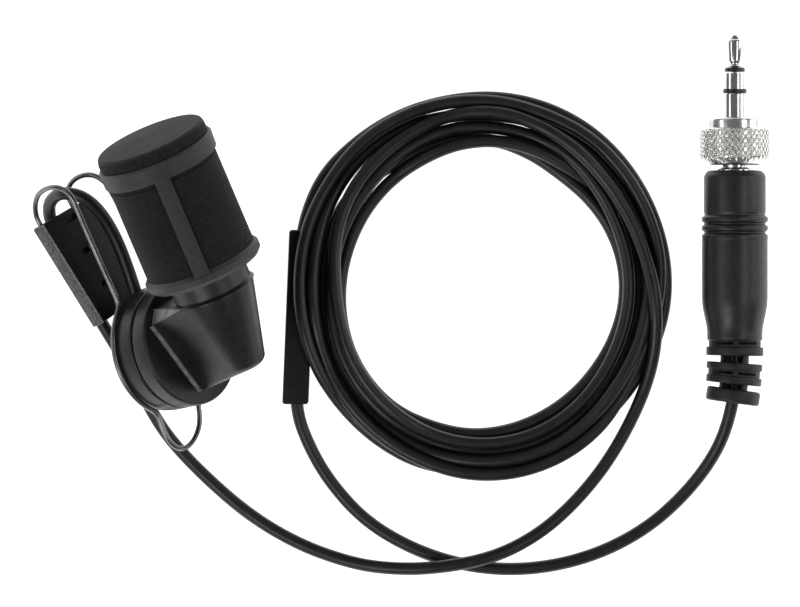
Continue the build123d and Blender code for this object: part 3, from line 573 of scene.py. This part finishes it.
plug_pts = [Vector((PLUG0.x - 0.35, PLUG0.y - 34.1, PLUG0.z - 0.15)), T(48.3, -17.6, 4.55), T(46.1, -22.8, 2.6),
            T(41.7, -28.5, 1.15), T(35.8, -33.6, 0.96), T(28.1, -37.4, 0.96), T(19.2, -39.3, 0.96),
            T(10.4, -38.9, 0.96), T(2.2, -36.4, 0.96), T(-5.2, -32.1, 0.96), T(-10.7, -25.9, 0.96),
            T(-13.85, -20.1, 1.1), T(-15.25, -15.1, 1.4)]

# loose turns: radius in tenths of the turn's share of the outline, turn by turn from the microphone's end,
# one value every 30 degrees from 0 (towards +X), counter-clockwise
CX, CY = 49.275, -0.028
K = 0.1474
TURNS = [
    [169, 162, 167, 181, 167, 160, 146, 149, 154, 157, 155, 147],
    [147, 149, 158, 163, 159, 152, 150, 156, 161, 166, 163, 155],
    [157, 153, 148, 148, 142, 140, 143, 148, 151, 147, 142, 141],
    [145, 143, 140, 151, 150, 163, 163, 165, 170, 175, 173, 167],
    [170, 174, 177, 171, 182, 177, 170, 174, 179, 187, 185, 172],
    [176, 180, 184, 186, 190, 183, 178, 181, 184, 181, 178, 179],
    [184, 186, 191, 191, 189, 195.5],
]
flat = [q for turn_ in TURNS for q in turn_]
STEP = 5.0
A0, A1 = -35.0, 6 * 360 + 160.0
ang = np.arange(A0, A1 + 0.1, STEP)
knot_a = [-60.0, -45.0, -31.5, -14.0] + [30.0 * i for i in range(len(flat))] + [6 * 360 + 161.8]
knot_r = [218.0, 204.0, 191.0, 178.5] + flat + [188.5]


def smooth_curve(xs, ys, x):
    """Cubic Hermite through the points with averaged slopes."""
    xs, ys = np.array(xs, float), np.array(ys, float)
    sl = np.zeros(len(xs))
    sl[1:-1] = (ys[2:] - ys[:-2]) / (xs[2:] - xs[:-2])
    sl[0], sl[-1] = (ys[1] - ys[0]) / (xs[1] - xs[0]), (ys[-1] - ys[-2]) / (xs[-1] - xs[-2])
    i = np.clip(np.searchsorted(xs, x) - 1, 0, len(xs) - 2)
    h = xs[i + 1] - xs[i]
    t = (x - xs[i]) / h
    return ((2 * t ** 3 - 3 * t ** 2 + 1) * ys[i] + (t ** 3 - 2 * t ** 2 + t) * h * sl[i]
            + (-2 * t ** 3 + 3 * t ** 2) * ys[i + 1] + (t ** 3 - t ** 2) * h * sl[i + 1])


def settle(ang, target, d, floor):
    """The turns drop onto each other: they sink, keep near their own radius, and never share space."""
    per = int(round(360 / STEP))
    R = target.copy()
    n = len(R)
    Z = floor + 1.35 * (n - 1 - np.arange(n)) / per
    Z[:6] = np.linspace(1.6, Z[5], 6)
    mx, my = -14.81 + SHIFT_X, -2.00 + SHIFT_Y
    th = np.radians(ang)
    for it in range(700):
        soft = 1.0 if it < 500 else 0.3
        R += 0.10 * soft * (target - R)
        Z[2:] -= 0.03 * soft
        for a in (R, Z):
            s = a.copy()
            s[1:-1] = 0.5 * a[1:-1] + 0.25 * (a[:-2] + a[2:])
            if it % 2 == 0 and it < 660:
                a[2:-2] = s[2:-2]
        for rep in range(2):
            for m in range(1, 7):
                o = m * per
                if o >= n:
                    break
                i, j = np.arange(0, n - o), np.arange(o, n)
                dr, dz = R[i] - R[j], Z[i] - Z[j]
                dz = np.where((np.abs(dr) < 0.7 * d) & (dz < 0.15), 0.15, dz)
                dist = np.sqrt(dr * dr + dz * dz)
                push = np.maximum(0, d - dist) / np.maximum(dist, 1e-6) * 0.5
                R[i] += dr * push * 0.55
                R[j] -= dr * push * 0.55
                Z[i] += dz * push * 1.35
                Z[j] -= dz * push * 0.55
            # the marker lies under the outer turns on its side
            x, y = CX + R * np.cos(th), CY + R * np.sin(th)
            near = (np.abs(y - my) < 13.6) & (ang < 6 * 360 + 120)
            gap = np.maximum(0, x - (mx + 1.85 + 0.0352 * (y - my)))
            lift = np.where(near & (gap < 1.0), 2.9 - 0.45 + np.sqrt(np.maximum(0.0, 1.4 ** 2 - (gap + 0.40) ** 2)), 0)
            Z = np.maximum(Z, lift)
            Z = np.maximum(Z, floor)
        Z[:2] = (1.3, 1.6)
        R[:2] = target[:2]
        R[-2:] = target[-2:]
        Z[-2:] = 1.35
    return R, Z


target = smooth_curve(knot_a, knot_r, ang) * K
R_c, Z_c = settle(ang, target, D_CAB + 0.04, D_CAB / 2 + 0.01)
coil_pts = []
for i in range(0, len(ang), 3):
    if ang[i] > 6 * 360 + 150:
        break
    a = math.radians(ang[i])
    # the spline runs inside its points, so they stand out by that much
    out = R_c[i] * 1.0042
    coil_pts.append(Vector((CX + out * math.cos(a), CY + out * math.sin(a), float(Z_c[i]))))

mark_axis = Vector((math.sin(math.radians(2.0)), math.cos(math.radians(2.0)), 0))
mark_c = Vector((-14.81 + SHIFT_X, -2.00 + SHIFT_Y, 1.42))
mark_pts = [mark_c + mark_axis * q for q in (13.6, 9.0, 0.0, -9.0, -13.6)]
cord_pts = loop_pts + mic_pts + coil_pts + [T(-14.25, 11.9, 1.42)] + mark_pts[1:] + plug_pts[::-1][1:]


def nurbs(name, pts, radius=0.0, res_u=12, bev=6):
    cu = bpy.data.curves.new(name, "CURVE")
    cu.dimensions = "3D"
    sp = cu.splines.new("NURBS")
    sp.points.add(len(pts) - 1)
    for p, q in zip(sp.points, pts):
        p.co = (q[0] * mm, q[1] * mm, q[2] * mm, 1)
    sp.order_u = 3
    sp.use_endpoint_u = True
    cu.resolution_u = res_u
    cu.bevel_depth = radius * mm
    cu.bevel_resolution = bev
    cu.use_fill_caps = True
    o = bpy.data.objects.new(name, cu)
    scene.collection.objects.link(o)
    return o


def line_of(pts, res_u=24):
    """Points along a route's spline, in millimetres."""
    o = nurbs("tmp_line", pts, 0.0, res_u)
    bpy.context.view_layer.update()
    me = bpy.data.meshes.new_from_object(o.evaluated_get(bpy.context.evaluated_depsgraph_get()))
    co = [v.co.copy() / mm for v in me.vertices]
    bpy.data.meshes.remove(me)
    bpy.data.objects.remove(o)
    return co


cable = nurbs("cable", cord_pts, D_CAB / 2, 10, 6)
cable.data.materials.append(MAT["cable_jacket"])
for sp in cable.data.splines:
    sp.use_smooth = True
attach(cable, "root")
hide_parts("cable_clip_loop", "cable_mic_run", "cable_coil", "cable_marker_link", "cable_plug_run")
cable_line = line_of(cord_pts)

spring = nurbs("clip_wire", wire_pts, 0.39, 12, 5)
spring.data.materials.append(MAT["spring_steel"])
for sp in spring.data.splines:
    sp.use_smooth = True
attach(spring, "root")
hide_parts("spring_wire")
bore_m = mm_matrix(basis(mark_c, (mark_axis.y, -mark_axis.x, 0), mark_axis))
sleeve_me = carve(prism_mesh([(19.83, -17.16), (23.70, -17.16), (24.62, 8.54), (20.87, 8.54)], 0.04, 2.88,
                             Matrix.Identity(4), 0.45, 4),
                  [ring_mesh([(0, 20.0), (0.99, 20.0), (0.99, -20.0), (0, -20.0)], bore_m, 48)], "DIFFERENCE")
place("marker_sleeve", sleeve_me, ["marker_black"], "root", ("cable_marker",), 40)

# ------------------------------------------------------------------ wind screen
# side gauze: fine ribs round the tube, each of twisted threads
pitch, rows = 0.36, 6
h0, h1 = 1.9, 17.0
nrow = int((h1 - h0) / pitch * rows)
SEG = 288
outer = [(8.26, h0 + (h1 - h0) * i / nrow) for i in range(nrow + 1)]


def gauze_bump(r, h, a, i):
    if r < 8.1:
        return 0.0
    if h > 16.2:
        return -0.29
    w = abs(math.sin(pi * h / pitch))
    return 0.12 * w - 0.07 + 0.014 * math.sin(a * 144 + (1 if int(h / pitch) % 2 else 0) * pi)


lathe("wind_gauze", outer + [(7.95, h1), (7.95, h0)], MIC_M, "gauze_cloth", "microphone", SEG, gauze_bump,
      80, ("side_gauze",))

# cloth cap: knitted band on its side and a fine close cloth on top
cap = [(8.05, 19.35), (8.12, 19.5)]
for q in range(1, 22):
    cap.append((8.20 + 0.08 * math.sin(pi * q / 21), 19.5 + 1.55 * q / 21))
for q in range(1, 9):
    f = q / 8 * pi / 2
    cap.append((7.70 + 0.52 * math.cos(f), 21.05 + 0.52 * math.sin(f)))
nr = 70
for q in range(1, nr + 1):
    r = 7.70 * (1 - q / nr)
    cap.append((max(r, 0.0), 21.57 + 0.32 * (1 - (r / 7.70) ** 2)))


def cap_bump(r, h, a, i):
    if h < 21.2 and r > 8.1:
        return 0.11 * abs(math.sin(a * 38 + 5.5 * (h - 19.5))) * min(1, (21.25 - h) / 0.3) - 0.03
    return 0.0


cap_o = lathe("cloth_cap", cap + [(0.0, 19.35)], MIC_M, "cap_cloth", "microphone", 360, cap_bump, 80,
              ("top_gauze_cap",))
cap_o.data.materials.append(MAT["gauze_cloth"])
inv = MIC_M.inverted()
for p in cap_o.data.polygons:
    q = inv @ p.center
    if q.z < 21.15 and math.hypot(q.x, q.y) > 8.0:
        p.material_index = 1
for v in cap_o.data.vertices:
    p = inv @ v.co
    r = math.hypot(p.x, p.y)
    if p.z > 21.3 and r < 7.9:
        w = 0.022 * math.sin(2 * pi * p.x / 0.42) * math.sin(2 * pi * p.y / 0.42)
        w += 0.03 * noise.noise(Vector((p.x * 0.5, p.y * 0.5, 3.1)))
        v.co = MIC_M @ Vector((p.x, p.y, p.z + w * min(1, (7.9 - r) * 2)))

# ------------------------------------------------------------------ plug
# moulded body with three grip beads
body_prof = rounded([(2.95, -0.15, 0), (3.9, -0.02, 0.5), (4.55, -0.75, 0.6), (4.55, -6.25, 0.15),
                     (4.47, -6.45, 0.08), (4.47, -6.7, 0.08), (4.88, -6.95, 0.2), (4.88, -7.55, 0.2), (4.5, -7.8, 0.08),
                     (4.5, -8.02, 0.08), (4.88, -8.25, 0.2), (4.88, -8.85, 0.2), (4.5, -9.1, 0.08), (4.5, -9.32, 0.08),
                     (4.86, -9.55, 0.2), (4.86, -10.05, 0.1), (4.83, -10.3, 0.1), (4.83, -19.75, 1.2),
                     (4.06, -23.4, 0.8), (4.06, -25.0, 0.25), (3.6, -25.2, 0.1), (1.6, -25.2, 0),
                     (1.6, -11.05, 0), (2.95, -11.05, 0)], 0.15, 4)
lathe("plug_shell", body_prof, PLUG_M, "plug_mould", "root", 144, None, 40, ("plug_body",))

# locking nut with a crossed knurl between its chamfers
nut_out = [(3.15, 7.6), (4.33, 7.6), (4.5, 7.54), (4.6, 7.4), (4.63, 7.25), (4.63, 6.2), (4.66, 6.08), (4.86, 6.0)]
kn = 64
nut_out += [(5.10, 5.92 - (5.92 - 1.8) * i / kn) for i in range(kn + 1)]
nut_out += [(4.9, 1.6), (4.45, 0.95), (4.2, 0.76), (4.0, 0.7), (3.46, 0.7), (2.06, 1.0), (2.06, 2.6), (3.1, 2.6),
            (3.1, 4.0), (3.3, 4.2), (3.3, 7.4)]
NK = 34


def knurl(r, h, a, i):
    if not (1.79 < h < 5.93 and r > 5.0):
        return 0.0
    u_ = NK * a / (2 * pi)
    v_ = h / 1.2
    p, q = (u_ + v_) % 1.0, (u_ - v_) % 1.0
    dome = abs(math.sin(pi * p)) * abs(math.sin(pi * q))
    fade = max(0.0, min(1, (h - 1.79) / 0.3, (5.93 - h) / 0.3))
    return -0.32 + 0.35 * min(1.0, 1.9 * dome) ** 0.8 - 0.08 * (1 - fade)


lathe("knurled_nut", nut_out, PLUG_M, "nut_metal", "nut", 816, knurl, 70, ("locking_nut",))

# contacts
lathe("jack_tip", rounded([(0, 19.95, 0), (0.5, 19.85, 0.15), (0.82, 19.4, 0.2), (0.9, 19.2, 0.05),
                           (1.12, 19.12, 0.1), (1.26, 18.9, 0.15), (1.24, 17.6, 0.5), (1.05, 15.95, 0.3),
                           (0.82, 15.7, 0.1), (0.84, 15.45, 0.1), (1.1, 15.2, 0.1), (0.42, 15.1, 0), (0.42, 3.0, 0),
                           (0, 3.0, 0)], 0.1, 4), PLUG_M, "contact_metal", "root", 72, None, 50,
      ("plug_tip",))
lathe("jack_sleeve", rounded([(1.3, 11.29, 0), (1.69, 11.29, 0.04), (1.75, 11.15, 0.04), (1.75, 7.65, 0.1),
                              (2.6, 7.65, 0.1), (2.6, 5.0, 0), (2.0, 5.0, 0), (2.0, 3.6, 0), (2.95, 3.6, 0),
                              (2.95, 2.75, 0), (2.03, 2.75, 0), (2.03, 0.9, 0.05), (2.03, 0.3, 0.1), (2.9, 0.1, 0.1),
                              (2.9, -6.5, 0), (1.3, -6.5, 0)], 0.1, 4), PLUG_M, "contact_metal", "root", 96, None,
      40, ("plug_sleeve",))

# ------------------------------------------------------------------ floor and light
fme = bpy.data.meshes.new("floor")
s = 3.0
fme.from_pydata([(-s, -s, 0), (s, -s, 0), (s, s, 0), (-s, s, 0)], [], [(0, 1, 2, 3)])
floor = bpy.data.objects.new("floor", fme)
scene.collection.objects.link(floor)
fm = bpy.data.materials.new("floor_white")
fm.use_nodes = True
fb = fm.node_tree.nodes["Principled BSDF"]
fb.inputs["Base Color"].default_value = (0.9, 0.9, 0.9, 1)
fb.inputs["Roughness"].default_value = 0.9
sock(fb, "Specular IOR Level", "Specular").default_value = 0.1
fb.inputs["Emission Color"].default_value = (1, 1, 1, 1)
fb.inputs["Emission Strength"].default_value = 0.98
fme.materials.append(fm)

world = bpy.data.worlds.new("world")
scene.world = world
world.use_nodes = True
world.node_tree.nodes["Background"].inputs["Color"].default_value = (1, 1, 1, 1)
world.node_tree.nodes["Background"].inputs["Strength"].default_value = 0.14


def area(name, loc, target_, size, power, size_y=None):
    ld = bpy.data.lights.new(name, "AREA")
    ld.energy = power
    ld.size = size
    if size_y:
        ld.shape = "RECTANGLE"
        ld.size_y = size_y
    lo = bpy.data.objects.new(name, ld)
    scene.collection.objects.link(lo)
    lo.location = loc
    lo.rotation_mode = "QUATERNION"
    lo.rotation_quaternion = (Vector(target_) - Vector(loc)).to_track_quat("-Z", "Y")
    return lo


area("key", (-0.72, 0.85, 1.0), (0.03, 0, 0), 0.9, 1.0)
area("low", (-0.62, -0.72, 1.1), (0.03, 0, 0), 0.6, 7.0)
area("strip", (0.85, 0.0, 1.15), (0.03, 0, 0), 1.3, 4.0, 0.3)
area("right", (1.25, 0.25, 0.42), (0.03, 0, 0), 0.5, 2.6)
area("left", (-1.1, 0.0, 0.95), (0.03, 0, 0), 0.9, 2.2, 0.3)
scene.view_settings.view_transform = "Standard"
scene.view_settings.look = "None"
scene.view_settings.exposure = 0.0
scene.view_settings.gamma = 1.0
